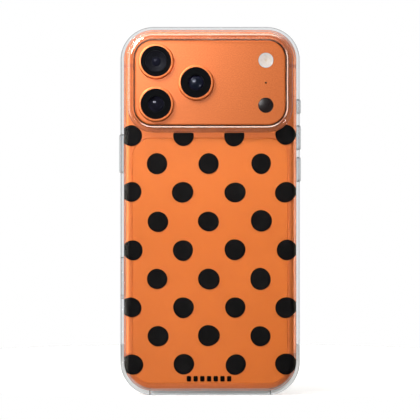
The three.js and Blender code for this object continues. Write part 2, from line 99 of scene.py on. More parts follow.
FRAME_LOW, FRAME_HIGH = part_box("unibody_frame")
PHONE = (extent("unibody_frame").x, extent("unibody_frame").z, 13.3 * MM)
PHONE_AT = Vector((0, 0, middle("unibody_frame").z))
FRONT_Y = FRAME_HIGH.y  # the display side of the frame
BACK_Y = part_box("back_glass")[0].y  # its flat back
PLATEAU_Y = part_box("flash_window")[0].y
MID_Y = middle("side_button").y
LENSES = ("ultrawide", "wide", "telephoto")
PLATEAU_AT = Vector((0, 0, middle("telephoto_lens_ring").z))
PLATEAU = (68.4 * MM, 38.4 * MM, 8.3 * MM)
PLATEAU_POCKET = (63.2 * MM, 33.2 * MM, 3 * MM)
CAVITY = (PHONE[0] - 4.2 * MM, PHONE[1] - 4.2 * MM, 11.4 * MM)
GLASS = (extent("back_glass").x, extent("back_glass").z, 8.5 * MM)
WINDOW = (PLATEAU[0] + 1 * MM, PLATEAU[1] + 1 * MM, 8.8 * MM)
PANEL_LOW, PANEL_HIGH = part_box("case_back_panel")
BUMPER_LOW, BUMPER_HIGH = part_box("case_bumper")
RIM_Y = PANEL_LOW.y
CASE_BACK_Y = BUMPER_LOW.y
LIP_Y = BUMPER_HIGH.y
CASE = (BUMPER_HIGH.x - BUMPER_LOW.x, BUMPER_HIGH.z - BUMPER_LOW.z, 15.05 * MM)
CASE_AT = Vector((0, 0, (BUMPER_HIGH.z + BUMPER_LOW.z) / 2))
BUTTONS = ("side_button", "camera_control", "action_button", "volume_up", "volume_down")
COVERED = [name for name in BUTTONS if name != "camera_control"]
ANTENNA_BANDS = [
    f"antenna_band_{level}_{hand}" for level in ("upper", "lower") for hand in ("left", "right")
]


# ---- node trees
def srgb(red, green, blue):
    """A colour given as it looks on a screen, 0 to 255, as linear light."""
    channels = (red, green, blue)
    linear = [((c / 255 + 0.055) / 1.055) ** 2.4 if c > 10 else c / 255 / 12.92 for c in channels]
    return (*linear, 1)


def toned(colour, by):
    """A colour with its light multiplied."""
    return tuple(min(1.0, c * by) for c in colour[:3]) + (1,)


class Tree:
    """The nodes of a new material or world, with one call to add a node and link what feeds it."""

    def __init__(self, name, kind=bpy.data.materials):
        self.owner = kind.new(name)
        self.owner.use_nodes = True
        self.nodes = self.owner.node_tree.nodes
        self.links = self.owner.node_tree.links
        self.nodes.clear()
        self.place = None

    def add(self, kind, inputs=None, **settings):
        node = self.nodes.new("ShaderNode" + kind)
        for key, value in settings.items():
            setattr(node, key, value)
        for key, value in (inputs or {}).items():
            if isinstance(value, bpy.types.NodeSocket):
                self.links.new(value, node.inputs[key])
            else:
                node.inputs[key].default_value = value
        return node

    def position(self):
        if self.place is None:
            self.place = self.add("TexCoord").outputs["Object"]
        return self.place

    def distance(self, point):
        """How far a place on the piece is from point."""
        apart = self.add("VectorMath", {0: self.position(), 1: point}, operation="SUBTRACT").outputs[0]
        return self.add("VectorMath", {0: apart}, operation="LENGTH").outputs["Value"]

    def noise(self, scale, detail=2.0, roughness=0.5, vector=None):
        feed = {"Scale": scale, "Detail": detail, "Roughness": roughness}
        feed["Vector"] = vector or self.position()
        return self.add("TexNoise", feed).outputs["Fac"]

    def span(self, value, low, high, start=0.0, end=1.0):
        """value, mapped from start..end to low..high."""
        feed = {"Value": value, "From Min": start, "From Max": end, "To Min": low, "To Max": high}
        return self.add("MapRange", feed).outputs["Result"]

    def maths(self, operation, first, second):
        return self.add("Math", {0: first, 1: second}, operation=operation).outputs[0]

    def blend(self, factor, first, second):
        """A mix of two colours."""
        return self.add("Mix", {0: factor, 6: first, 7: second}, data_type="RGBA").outputs[2]

    def shaded(self, value, first, second, start=0.3, end=0.7):
        """A colour that goes from first to second while value goes from start to end."""
        return self.blend(self.span(value, 0, 1, start, end), first, second)

    def mixed(self, factor, first, second):
        """A mix of two shaders."""
        return self.add("MixShader", {0: factor, 1: first, 2: second}).outputs[0]

    def bump(self, height, distance):
        return self.add("Bump", {"Height": height, "Distance": distance}).outputs["Normal"]

    def principled(self, **inputs):
        feed = {key.replace("_", " "): value for key, value in inputs.items()}
        return self.add("BsdfPrincipled", feed).outputs[0]

    def see_through(self, colour):
        return self.add("BsdfTransparent", {"Color": colour}).outputs[0]

    def finish(self, shader, output="OutputMaterial"):
        self.add(output, {"Surface": shader})
        return self.owner


def anodised(name, dark, light, patch):
    """Bead-blasted aluminium, anodised orange: a fine grain under a clear hard layer."""
    tree = Tree(name)
    grain = tree.noise(2000, 3, 0.65)
    cloud = tree.noise(30, 2)
    shade = tree.shaded(grain, dark, light, 0.35, 0.65)
    shader = tree.principled(
        Base_Color=tree.blend(tree.span(cloud, 0.0, 0.25), shade, patch),
        Metallic=0.35,
        Roughness=tree.span(grain, 0.31, 0.39, 0.3, 0.7),
        Normal=tree.bump(grain, 0.006 * MM),
        Specular_IOR_Level=0.6,
    )
    return tree.finish(shader)


def machined(name, dark, light, metallic, smooth, rough):
    """Anodised aluminium with the satin of a machined face: the lens rings and the button caps."""
    tree = Tree(name)
    turning = tree.noise(1400, 2)
    shader = tree.principled(
        Base_Color=tree.shaded(turning, dark, light),
        Metallic=metallic,
        Roughness=tree.span(turning, smooth, rough),
    )
    return tree.finish(shader)


def frosted_glass():
    """Orange glass with a fine matte etch on its outer face."""
    tree = Tree("frosted_orange_glass")
    etch = tree.noise(3200, 2, 0.6)
    cloud = tree.noise(22, 2)
    colour = tree.shaded(cloud, srgb(219, 112, 41), srgb(222, 115, 44), 0.35, 0.65)
    shader = tree.principled(
        Base_Color=tree.blend(tree.span(etch, 0, 0.1, 0.35, 0.65), colour, srgb(230, 138, 65)),
        Roughness=tree.span(etch, 0.4, 0.47, 0.3, 0.7),
        Normal=tree.bump(etch, 0.002 * MM),
        Specular_IOR_Level=0.42,
    )
    return tree.finish(shader)


def grained(name, dark, light, smooth, rough, scale, depth, specular):
    """A fine even grain that shows in colour, gloss and relief, as of resin, ink or plastic."""
    tree = Tree(name)
    grain = tree.noise(scale, 3)
    shader = tree.principled(
        Base_Color=tree.shaded(grain, dark, light),
        Roughness=tree.span(grain, smooth, rough),
        Normal=tree.bump(grain, depth),
        Specular_IOR_Level=specular,
    )
    return tree.finish(shader)


def antenna_resin():
    """The resin in the antenna gaps: matte, and a little darker than the metal."""
    return grained("orange_resin", srgb(196, 92, 50), srgb(208, 102, 58), 0.5, 0.6, 1800, 0.004 * MM, 0.5)


def ink(name, dark, light, roughness):
    """Screen-printed ink, slightly uneven and satin."""
    return grained(name, dark, light, roughness - 0.06, roughness + 0.06, 2400, 0.003 * MM, 0.06)


def moulded(name, colour, roughness):
    """Moulded plastic or rubber with a fine spark-eroded texture."""
    light = toned(colour, 1.25)
    return grained(name, colour, light, roughness - 0.06, roughness + 0.06, 1700, 0.006 * MM, 0.3)


def clear(name, tint, edge_tint, refraction, clarity, through_share, coat=0.0):
    """Clear plastic, darker where it is seen edge on; below a clarity of 1 it is hazy.

    Each of its faces lets through_share of a lamp's light past. A coat makes it mirror more."""
    tree = Tree(name)
    flow = tree.noise(70, 1)
    body = tree.blend(flow, tint, toned(tint, 0.985))
    facing = tree.add("LayerWeight", {"Blend": 0.5}).outputs["Facing"]
    shader = tree.principled(
        Base_Color=tree.shaded(facing, body, edge_tint, 0.3, 0.95),
        Roughness=0.0,
        Transmission_Weight=clarity,
        IOR=refraction,
        Coat_Weight=coat,
        Coat_IOR=2.3,
        Coat_Roughness=0.0,
    )
    shadow = tree.add("LightPath").outputs["Is Shadow Ray"]
    through = tree.see_through((through_share, through_share, through_share, 1))
    return tree.finish(tree.mixed(shadow, shader, through))


def gloss_black(name, colour, roughness=0.06, coat=0.6):
    """Black glass: a hard gloss over a very dark body, with faint smears."""
    tree = Tree(name)
    smear = tree.noise(120, 3)
    shader = tree.principled(
        Base_Color=colour,
        Roughness=tree.span(smear, roughness, roughness + 0.05),
        Coat_Weight=coat,
    )
    return tree.finish(shader)


def lens_coating(name, centre, edge, rim, shine, softness):
    """A lens element with its anti-glare coating, whose tint changes as the surface turns away."""
    tree = Tree(name)
    facing = tree.add("LayerWeight", {"Blend": 0.35}).outputs["Facing"]
    inner = tree.shaded(facing, centre, edge, 0.02, 0.35)
    colour = tree.shaded(facing, inner, rim, 0.3, 0.8)
    shader = tree.principled(
        Base_Color=colour,
        Roughness=softness,
        Specular_IOR_Level=0.5 * shine,
        Coat_Weight=shine,
        Coat_Roughness=softness,
        Coat_Tint=srgb(222, 216, 246),
    )
    return tree.finish(shader)


def cover_glass():
    """The flat window over a lens: see-through, with a reflection of its own."""
    tree = Tree("lens_window")
    smear = tree.noise(200, 2)
    feed = {"Color": (1, 1, 1, 1), "Roughness": tree.span(smear, 0.02, 0.05)}
    gloss = tree.add("BsdfGlossy", feed).outputs[0]
    fresnel = tree.add("Fresnel", {"IOR": 1.25}).outputs[0]
    return tree.finish(tree.mixed(fresnel, tree.see_through((0.93, 0.94, 0.97, 1)), gloss))


def diffuser():
    """The flash's milky Fresnel lens, warmer at its middle where the lamp sits."""
    tree = Tree("flash_diffuser")
    radius = tree.distance(middle("flash_window"))
    inner = tree.shaded(radius, srgb(224, 198, 164), srgb(234, 224, 216), 0, 0.9 * MM)
    colour = tree.shaded(radius, inner, srgb(228, 226, 226), 2.2 * MM, 3.3 * MM)
    shader = tree.principled(
        Base_Color=colour,
        Roughness=tree.span(tree.noise(900, 2), 0.22, 0.34),
        Subsurface_Weight=0.15,
        Subsurface_Radius=(0.4 * MM, 0.35 * MM, 0.3 * MM),
        Coat_Weight=0.5,
    )
    return tree.finish(shader)


def metal(name, colour, roughness, brushed=False):
    """Stamped or plated metal, its grain drawn out along X where it is brushed."""
    tree = Tree(name)
    stretch = Vector((0.05, 1, 1)) if brushed else Vector((1, 1, 1))
    grain_at = tree.add("VectorMath", {0: tree.position(), 1: stretch}, operation="MULTIPLY").outputs[0]
    grain = tree.noise(2200, 3, vector=grain_at)
    shader = tree.principled(
        Base_Color=tree.shaded(grain, colour, toned(colour, 1.15)),
        Metallic=1.0,
        Roughness=tree.span(grain, roughness - 0.05, roughness + 0.08),
        Normal=tree.bump(grain, 0.004 * MM),
    )
    return tree.finish(shader)


def circuit():
    """Green solder mask over copper tracks."""
    tree = Tree("circuit_board")
    feed = {"Vector": tree.position(), "Scale": 260.0, "Mortar Size": 0.03}
    tracks = tree.add("TexBrick", feed).outputs["Fac"]
    speck = tree.noise(1500, 2)
    colour = tree.blend(tracks, srgb(24, 66, 44), srgb(58, 112, 74))
    shader = tree.principled(
        Base_Color=colour,
        Roughness=tree.span(speck, 0.35, 0.5),
        Normal=tree.bump(tracks, 0.02 * MM),
    )
    return tree.finish(shader)


COIL_PITCH = 0.6 * MM


def wound_copper():
    """Copper with the fine turns of a coil."""
    tree = Tree("wound_copper")
    turn = tree.maths("MULTIPLY", tree.distance(middle("charging_coil")), 2 * math.pi / COIL_PITCH)
    wave = tree.span(tree.add("Math", {0: turn}, operation="SINE").outputs[0], 0, 1, -1, 1)
    shader = tree.principled(
        Base_Color=tree.blend(wave, srgb(150, 84, 48), srgb(214, 136, 88)),
        Metallic=1.0,
        Roughness=tree.span(tree.noise(900, 2), 0.28, 0.4),
        Normal=tree.bump(wave, 0.05 * MM),
    )
    return tree.finish(shader)


MATERIALS = {
    "anodised": anodised("anodised_orange", srgb(226, 116, 56), srgb(246, 136, 72), srgb(230, 118, 58)),
    # dark brown anodised colour: painted shade, low on the plateau's side and in the cove round its foot
    "painted_foot_shade": anodised("anodised_painted_shade", srgb(58, 32, 20), srgb(66, 37, 24), srgb(60, 33, 21)),
    "polished": machined("polished_orange", srgb(250, 140, 76), srgb(255, 156, 96), 0.85, 0.2, 0.27),
    "ring": machined("ring_orange", srgb(240, 128, 66), srgb(248, 140, 80), 0.5, 0.28, 0.34),
    "back_glass": frosted_glass(),
    "resin": antenna_resin(),
    "panel": clear("clear_hard_plastic", (0.99, 0.99, 0.99, 1), (0.9, 0.9, 0.9, 1), 1.2, 1.0, 0.85),
    "rim": clear("clear_guard_plastic", (0.8, 0.74, 0.66, 1), (0.6, 0.5, 0.42, 1), 1.45, 0.94, 0.8, 1.0),
    # the guard's inner wall: partly the brown edge tint of clear plastic, partly painted shade, dark and
    # letting little lamp light past so the gap round the plateau is in shade
    "rim_wall_shade": clear("clear_guard_wall_shade", (0.36, 0.26, 0.2, 1), (0.2, 0.13, 0.09, 1), 1.45, 1.0, 0.3),
    "bumper": clear("clear_soft_plastic", (0.84, 0.855, 0.865, 1), (0.25, 0.26, 0.27, 1), 1.12, 0.98, 0.96),
    "dot_fill": ink("dot_ink", srgb(15, 14, 15), srgb(19, 18, 19), 0.55),
    "dot_edge": ink("dot_edge_ink", srgb(0, 0, 0), srgb(2, 2, 2), 0.6),
    "screen": gloss_black("display_glass", srgb(7, 7, 9)),
    "scanner": gloss_black("scanner_glass", srgb(32, 24, 24), 0.25, 0.0),
    "mask": ink("lens_mask", srgb(20, 20, 20), srgb(26, 26, 26), 0.6),
    "barrel": moulded("lens_barrel_black", srgb(27, 26, 32), 0.6),
    "window": cover_glass(),
    "flash": diffuser(),
    "steel": metal("stamped_steel", srgb(196, 198, 202), 0.3, brushed=True),
    "dark_steel": metal("plated_steel", srgb(98, 100, 104), 0.35),
    "magnet": metal("nickel_plate", srgb(160, 162, 166), 0.3),
    "copper": wound_copper(),
    "battery": moulded("battery_wrap", srgb(30, 31, 33), 0.5),
    "circuit": circuit(),
    "plastic": moulded("black_plastic", srgb(34, 35, 38), 0.55),
    "seal": moulded("seal_rubber", srgb(12, 12, 13), 0.75),
}
# For each lens: its coating's colour at the centre, at the edge and side on, its shine and its softness.
COATINGS = {
    "ultrawide": (srgb(34, 34, 46), srgb(42, 41, 52), srgb(34, 33, 40), 0.16, 0.1),
    "wide": (srgb(38, 37, 45), srgb(78, 76, 94), srgb(58, 56, 68), 0.35, 0.12),
    "telephoto": (srgb(36, 44, 54), srgb(84, 78, 102), srgb(76, 70, 86), 0.7, 0.2),
}
for lens, coating in COATINGS.items():
    MATERIALS[lens + "_coating"] = lens_coating(lens + "_coating", *coating)


# ---- mesh work
def outline(size, inset=0.0, steps=CORNER_STEPS):
    """The points (x, z) round a round-cornered rectangle (width, height, corner), drawn in by inset."""
    width, height, corner = size
    radius = max(corner - inset, 0.01 * MM)
    points = []
    for sign_x, sign_z, quarter in ((1, 1, 0), (-1, 1, 1), (-1, -1, 2), (1, -1, 3)):
        centre_x = sign_x * (width / 2 - inset - radius)
        centre_z = sign_z * (height / 2 - inset - radius)
        for step in range(steps + 1):
            angle = (quarter + step / steps) * math.pi / 2
            points.append((centre_x + radius * math.cos(angle), centre_z + radius * math.sin(angle)))
    return points


def circle(radius, sides=ROUND_SIDES):
    turns = [2 * math.pi * i / sides for i in range(sides)]
    return [(radius * math.cos(turn), radius * math.sin(turn)) for turn in turns]


def skin(rings, closed=False):
    """Vertices and faces through rings of points: capped at both ends, or joined end to start."""
    count = len(rings[0])
    vertices = [point for ring in rings for point in ring]
    faces = []
    spans = len(rings) if closed else len(rings) - 1
    for level in range(spans):
        low, high = level * count, (level + 1) % len(rings) * count
        for i in range(count):
            after = (i + 1) % count
            faces.append((low + i, low + after, high + after, high + i))
    if not closed:
        top = (len(rings) - 1) * count
        faces += [tuple(reversed(range(count))), tuple(range(top, top + count))]
    return vertices, faces


def lofted(size, sections, at=(0, 0, 0), steps=CORNER_STEPS):
    """A closed body through sections (y, inset) of one round-cornered outline."""
    rings = []
    for y, inset in sections:
        rings.append([(at[0] + x, at[1] + y, at[2] + z) for x, z in outline(size, inset, steps)])
    return skin(rings)


def turned(profile, at=(0, 0, 0), sides=ROUND_SIDES):
    """A body of revolution about Y. Its profile (radius, y) closes on itself unless it starts at 0."""
    solid = profile[0][0] == 0
    inner = profile[1:-1] if solid else profile
    rings = [[(at[0] + x, at[1] + y, at[2] + z) for x, z in circle(radius, sides)] for radius, y in inner]
    vertices, faces = skin(rings, closed=not solid)
    if solid:
        first, last = len(vertices), len(vertices) + 1
        vertices += [(at[0], at[1] + profile[0][1], at[2]), (at[0], at[1] + profile[-1][1], at[2])]
        faces = faces[:-2]
        top = (len(rings) - 1) * sides
        for i in range(sides):
            after = (i + 1) % sides
            faces += [(first, after, i), (last, top + i, top + after)]
    return vertices, faces


def rod(radius, low, high):
    """The profile of a plain round rod along Y."""
    return [(0, low), (radius, low), (radius, high), (0, high)]


def slab(low, high):
    """The eight corners and six faces of a box."""
    xs, ys, zs = zip(low, high)
    vertices = [(x, y, z) for y in ys for z in zs for x in xs]
    faces = [(0, 1, 3, 2), (4, 6, 7, 5), (0, 4, 5, 1), (2, 3, 7, 6), (0, 2, 6, 4), (1, 5, 7, 3)]
    return vertices, faces


def moved(shape, turn, at):
    vertices, faces = shape
    matrix = Matrix.Translation(at) @ turn
    return [tuple(matrix @ Vector(v)) for v in vertices], faces


def on_side(shape, node):
    """A shape built along Y, set on the side wall where node is so that +Y points out."""
    side = side_of(node)
    turn = Matrix.Rotation(-side * math.pi / 2, 4, "Z")
    return moved(shape, turn, (side * FRAME_HIGH.x, MID_Y, middle(node).z))


def on_bottom(shape, x=0):
    """A shape built along Y, set on the phone's lower wall so that +Y points down."""
    return moved(shape, Matrix.Rotation(-math.pi / 2, 4, "X"), (x, MID_Y, FRAME_LOW.z))


def outward(mesh):
    """Joins doubled corners and turns every face outwards."""
    shape = bmesh.new()
    shape.from_mesh(mesh)
    bmesh.ops.remove_doubles(shape, verts=shape.verts, dist=0.0005 * MM)
    bmesh.ops.recalc_face_normals(shape, faces=shape.faces)
    shape.to_mesh(mesh)
    shape.free()


def linked(name, data):
    made = bpy.data.objects.new(name, data)
    bpy.context.scene.collection.objects.link(made)
    return made


def piece(name, *shapes, material=None):
    """One mesh from closed shapes, faces pointing out."""
    vertices, faces = [], []
    for shape_vertices, shape_faces in shapes:
        start = len(vertices)
        vertices += shape_vertices
        faces += [tuple(start + i for i in face) for face in shape_faces]
    mesh = bpy.data.meshes.new(name)
    mesh.from_pydata(vertices, [], faces)
    outward(mesh)
    made = linked(name, mesh)
    if material:
        made.data.materials.append(MATERIALS[material])
    return made


def combined(made, operation, *shapes):
    """made with the shapes cut out of it or joined to it, one by one."""
    for shape in shapes:
        tool = piece("tool", shape)
        modifier = made.modifiers.new("boolean", "BOOLEAN")
        modifier.operation = operation
        modifier.solver = "MANIFOLD"
        modifier.object = tool
        graph = bpy.context.evaluated_depsgraph_get()
        result = bpy.data.meshes.new_from_object(made.evaluated_get(graph))
        made.modifiers.clear()
        made.data = result
        bpy.data.objects.remove(tool)
    return made


def smoothed(made, angle=SHARP):
    """Smooth shading between sharp edges, with flat faces kept flat."""
    made.data.polygons.foreach_set("use_smooth", [True] * len(made.data.polygons))
    made.data.set_sharp_from_angle(angle=angle)
    weighted = made.modifiers.new("weighted_normals", "WEIGHTED_NORMAL")
    weighted.keep_sharp = True
    weighted.weight = 100
    return made


def rounded(y, radius, depth, steps=EDGE_STEPS):
    """Sections round an edge: from a face at y, drawn in by radius, to the full outline at y + depth."""
    turns = [math.pi / 2 * i / steps for i in range(steps + 1)]
    return [(y + depth * (1 - math.cos(turn)), radius * (1 - math.sin(turn))) for turn in turns]


def crown(y, radius, depth, steps):
    """Sections round an edge: from the full outline to a face at y, drawn in by radius."""
    return [(y - rise, inset) for rise, inset in reversed(rounded(0, radius, depth, steps))]


def cove(y, rise, spread):
    """Sections of a hollow that spreads outwards as it runs down onto a flat at y."""
    turns = [math.pi / 2 * i / 6 for i in range(7)]
    return [(y - rise * (1 - math.sin(turn)), -spread * (1 - math.cos(turn))) for turn in turns]


def grown(size, by):
    return (size[0] + 2 * by, size[1] + 2 * by, size[2] + by)


def dressed(made, *looks):
    """The piece with these materials in place of what the cuts left behind."""
    made.data.materials.clear()
    for look in looks:
        made.data.materials.append(MATERIALS[look])
    return made


def put(made, node):
    """The piece stands for a CAD node and rides on its body; the node itself is hidden."""
    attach(made, frame["nodes"][node]["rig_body"])
    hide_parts(node)


def add_on(made, body):
    """The piece has no CAD node of its own, and rides on the given body or node."""
    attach(made, body)


def side_of(node):
    return 1 if middle(node).x > 0 else -1


def stadium(length, width):
    return (width, length, width / 2 - 0.01 * MM)


# ---- the phone's frame
BACK_ROUND = 3.2 * MM
FRONT_ROUND = 1.3 * MM
LEDGE_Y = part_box("display_cover_glass")[0].y - 0.45 * MM  # the seat of the display glass
PLATEAU_EDGE = 0.7 * MM
COVE_RISE = 0.9 * MM
COVE_SPREAD = 0.6 * MM
LENS_BORE = 6.2 * MM
WINDOW_BORE = 3.48 * MM
MICROPHONE_BORE = 0.45 * MM
GLASS_SEAT = 0.08 * MM  # room round the back glass
UNDER_GLASS = (66 * MM, 106 * MM, 6 * MM)  # the opening behind it
PORT = (9.1 * MM, 3.4 * MM, 1.65 * MM)
HOLE_PITCH = 2.5 * MM
FIRST_HOLE = 10.8 * MM
RIGHT_HOLES = 6
LEFT_HOLES = 3
FLANGE = 1.2 * MM  # how much longer than its cap the flange of a button is
GROOVE = 0.9 * MM  # the depth of an antenna band's groove
BAND_DEPTH = 0.87 * MM
BAND_GAP = 0.03 * MM
FAR = 50 * MM  # well outside the phone
THROUGH_WALL = [(-3 * MM, 0), (2 * MM, 0)]


def frame_sections(extra=0.0):
    back = rounded(BACK_Y, BACK_ROUND, BACK_ROUND)
    front = crown(FRONT_Y, FRONT_ROUND, FRONT_ROUND, 5)
    return [(y, inset + extra) for y, inset in back + front]


def frame_solid(extra=0.0):
    """The outer shape of the frame, drawn in by extra."""
    return lofted(PHONE, frame_sections(extra), PHONE_AT)


def plateau_shape():
    sections = rounded(PLATEAU_Y, PLATEAU_EDGE, PLATEAU_EDGE) + cove(BACK_Y, COVE_RISE, COVE_SPREAD)
    sections.append((BACK_Y + 0.9 * MM, -COVE_SPREAD))
    return lofted(PLATEAU, sections, PLATEAU_AT)


def cap_length(button):
    return extent(button).z - FLANGE


def button_slots():
    slots = []
    for name in BUTTONS:
        slot = lofted(stadium(cap_length(name) + 0.3 * MM, 3.2 * MM), THROUGH_WALL, steps=12)
        slots.append(on_side(slot, name))
    return slots


def bottom_holes():
    holes = [on_bottom(lofted(PORT, THROUGH_WALL, steps=12))]
    for name in ("bottom_screw_left", "bottom_screw_right"):
        head = turned(rod(1 * MM, -0.8 * MM, 2 * MM), sides=SMALL_SIDES)
        shank = turned(rod(0.65 * MM, -3 * MM, 0), sides=SMALL_SIDES)
        holes += [on_bottom(shape, middle(name).x) for shape in (head, shank)]
    places = [FIRST_HOLE + HOLE_PITCH * i for i in range(RIGHT_HOLES)]
    places += [-FIRST_HOLE - HOLE_PITCH * i for i in range(LEFT_HOLES)]
    for x in places:
        holes.append(on_bottom(turned(rod(0.75 * MM, -3 * MM, 2 * MM), sides=SMALL_SIDES), x))
    return holes


def bore(node, radius, sides=ROUND_SIDES):
    """The round hole through the plateau in front of node, as a tool."""
    return turned(rod(radius, -12 * MM, BACK_Y + 0.5 * MM), axis_of(node), sides)


def display_recess():
    """The room for the display glass, as a tool."""
    return lofted(grown(PHONE, -1.35 * MM), [(LEDGE_Y, 0), (FRONT_Y + 1 * MM, 0)], PHONE_AT)


def band_block(band, spare=0.0):
    """The block that bounds an antenna band, larger by spare."""
    low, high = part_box(band)
    near = FRAME_HIGH.x - BACK_ROUND + BAND_GAP - spare
    left, right = sorted((side_of(band) * near, side_of(band) * FAR))
    return slab((left, -FAR, low.z - spare), (right, FAR, high.z + spare))


def band_groove(band):
    """The groove that an antenna band fills, as a tool."""
    ring = combined(piece("ring", frame_solid(-1 * MM)), "DIFFERENCE", frame_solid(GROOVE))
    combined(ring, "INTERSECT", band_block(band, BAND_GAP))
    shape = [tuple(v.co) for v in ring.data.vertices], [tuple(p.vertices) for p in ring.data.polygons]
    bpy.data.objects.remove(ring)
    return shape


def in_painted_foot_shade(point):
    """Whether a face gets the painted shade: low on the plateau's side or in the cove round its foot, where
    shade falls.
    """
    apart = outside_of(PLATEAU, PLATEAU_AT, point.x, point.z)
    return -0.05 * MM < apart < 0.58 * MM and PLATEAU_Y + 0.9 * MM < point.y < BACK_Y + 0.05 * MM


def unibody():
    """The frame and the plateau in one, hollow, with every slot, hole and groove cut."""
    made = piece("unibody_frame_fine", frame_solid())
    combined(made, "UNION", plateau_shape())
    glass_at = Vector((0, 0, middle("back_glass").z))
    seat = [(BACK_Y - 1 * MM, -1.15 * MM), (BACK_Y + 0.15 * MM, 0), (BACK_Y + 0.6 * MM, 0)]
    tools = [
        lofted(CAVITY, [(BACK_Y + 1.075 * MM, 0), (FRONT_Y + 1 * MM, 0)], PHONE_AT),
        display_recess(),
        lofted(PLATEAU_POCKET, [(PLATEAU_Y + 0.9 * MM, 0), (BACK_Y + 2 * MM, 0)], PLATEAU_AT, 6),
        lofted(grown(GLASS, GLASS_SEAT), seat, glass_at),
        lofted(UNDER_GLASS, [(BACK_Y - 1 * MM, 0), (BACK_Y + 2 * MM, 0)], glass_at, 8),
    ]
    tools += [bore(name + "_lens_ring", LENS_BORE) for name in LENSES]
    tools += [bore(name, WINDOW_BORE) for name in ("flash_window", "depth_scanner_window")]
    tools.append(bore("rear_microphone", MICROPHONE_BORE, SMALL_SIDES))
    tools += button_slots() + bottom_holes()
    tools += [band_groove(name) for name in ANTENNA_BANDS]
    combined(made, "DIFFERENCE", *tools)
    # the faces round the plateau's foot take the painted shade
    dressed(made, "anodised", "painted_foot_shade")
    for face in made.data.polygons:
        face.material_index = 1 if in_painted_foot_shade(face.center) else 0
    put(smoothed(made), "unibody_frame")


def antenna_bands():
    for name in ANTENNA_BANDS:
        made = piece(name + "_fine", frame_solid(0.005 * MM))
        combined(made, "INTERSECT", band_block(name))
        combined(made, "DIFFERENCE", frame_solid(BAND_DEPTH), display_recess())
        put(smoothed(dressed(made, "resin")), name)


def back_glass():
    low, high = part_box("back_glass")
    thickness = high.y - low.y
    edge = rounded(0, 0.3 * MM, 0.25 * MM, 5)
    at = Vector((0, low.y, middle("back_glass").z))
    made = piece("back_glass_fine", lofted(GLASS, edge + [(thickness, 0)], at), material="back_glass")
    put(smoothed(made), "back_glass")


def button_caps():
    """Each cap is crowned across its width and rides in its slot; the flange behind keeps it in."""
    for name in BUTTONS:
        cap = [(-2.6 * MM, 0), (-0.15 * MM, 0)] + crown(0.2 * MM, 0.5 * MM, 0.3 * MM, 5)
        cap_shape = lofted(stadium(cap_length(name), 2.9 * MM), cap, steps=12)
        flange = [(-2.9 * MM, 0), (-2.25 * MM, 0)]
        flange_shape = lofted(stadium(cap_length(name) + FLANGE, 4.1 * MM), flange, steps=8)
        made = piece(name + "_fine", on_side(cap_shape, name))
        combined(made, "UNION", on_side(flange_shape, name))
        put(smoothed(dressed(made, "polished")), name)


# ---- the cameras
# For each lens, in mm: the radius of the hole in its black mask, that of its front element, and its bulge.
LENS_SIZES = {
    "ultrawide": (4.9, 2.2, 0.5),
    "wide": (3.75, 3.6, 1.0),
    "telephoto": (3.7, 3.6, 1.3),
}


def lens_ring(name):
    """A turned ring: rounded lip, thin top land, a step down to the glass, and the sleeve in the hole."""
    node = name + "_lens_ring"
    low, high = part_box(node)
    at = axis_of(node)
    outer, inner, sleeve, skirt = 7.9 * MM, 6.95 * MM, 5.6 * MM, 8.15 * MM
    foot = PLATEAU_Y - 0.05 * MM
    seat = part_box(name + "_cover_glass")[1].y + 0.05 * MM
    profile = [(sleeve, high.y), (sleeve, seat), (inner, seat)]
    profile += [(inner, low.y + 0.12 * MM), (inner + 0.1 * MM, low.y)]
    profile += [(outer - inset, y) for y, inset in rounded(low.y, 0.3 * MM, 0.3 * MM, 6)]
    profile += [(outer, foot - 0.35 * MM), (skirt, foot - 0.1 * MM), (skirt, foot)]
    profile += [(6.1 * MM, foot), (6.1 * MM, high.y)]
    made = piece(node + "_fine", turned(profile, at), material="ring")
    put(smoothed(made), node)


def lens_window(name):
    """The flat cover glass, and the black mask printed on its back."""
    node = name + "_cover_glass"
    low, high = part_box(node)
    at = axis_of(node)
    radius = radius_of(node)
    back = high.y - 0.06 * MM
    glass = piece(node + "_fine", turned(rod(radius, low.y, back), at), material="window")
    put(smoothed(glass), node)
    hole = LENS_SIZES[name][0] * MM
    top = back + 0.01 * MM
    ring = [(hole, top), (radius, top), (radius, high.y), (hole, high.y)]
    mask = piece(name + "_mask", turned(ring, at), material="mask")
    add_on(smoothed(mask), "phone")


def lens_barrel(name):
    """The focusing barrel: its ribs step down to the front element, which bulges and has the coating."""
    node = name + "_lens_barrel"
    low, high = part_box(node)
    at = axis_of(node)
    mouth, lens, bulge = LENS_SIZES[name]
    radius = radius_of(node)
    steps = 5
    seat = low.y + 1.5 * MM
    profile = [(0, seat), ((lens - 0.15) * MM, seat)]
    for i in range(steps + 1):
        ledge = lens * MM + (min(mouth, 4.6) * MM - lens * MM) * i / steps
        depth = seat - (seat - low.y) * i / steps
        profile += [(ledge, depth + 0.02 * MM), (ledge, depth - 0.1 * MM * (i < steps))]
    profile += [(radius - 0.1 * MM, low.y), (radius, low.y + 0.1 * MM), (radius, high.y), (0, high.y)]
    barrel = piece(node + "_fine", turned(profile, at), material="barrel")
    put(smoothed(barrel), node)
    dome = [(0, seat - 0.05 * MM - bulge * MM)]
    for i in range(1, 15):
        turn = math.pi / 2 * i / 14
        across = (lens - 0.2) * MM * math.sin(turn)
        dome.append((across, seat - 0.05 * MM - bulge * MM * math.cos(turn)))
    dome.append((0, seat - 0.03 * MM))
    front = piece(name + "_front_element", turned(dome, at), material=name + "_coating")
    add_on(smoothed(front), node)


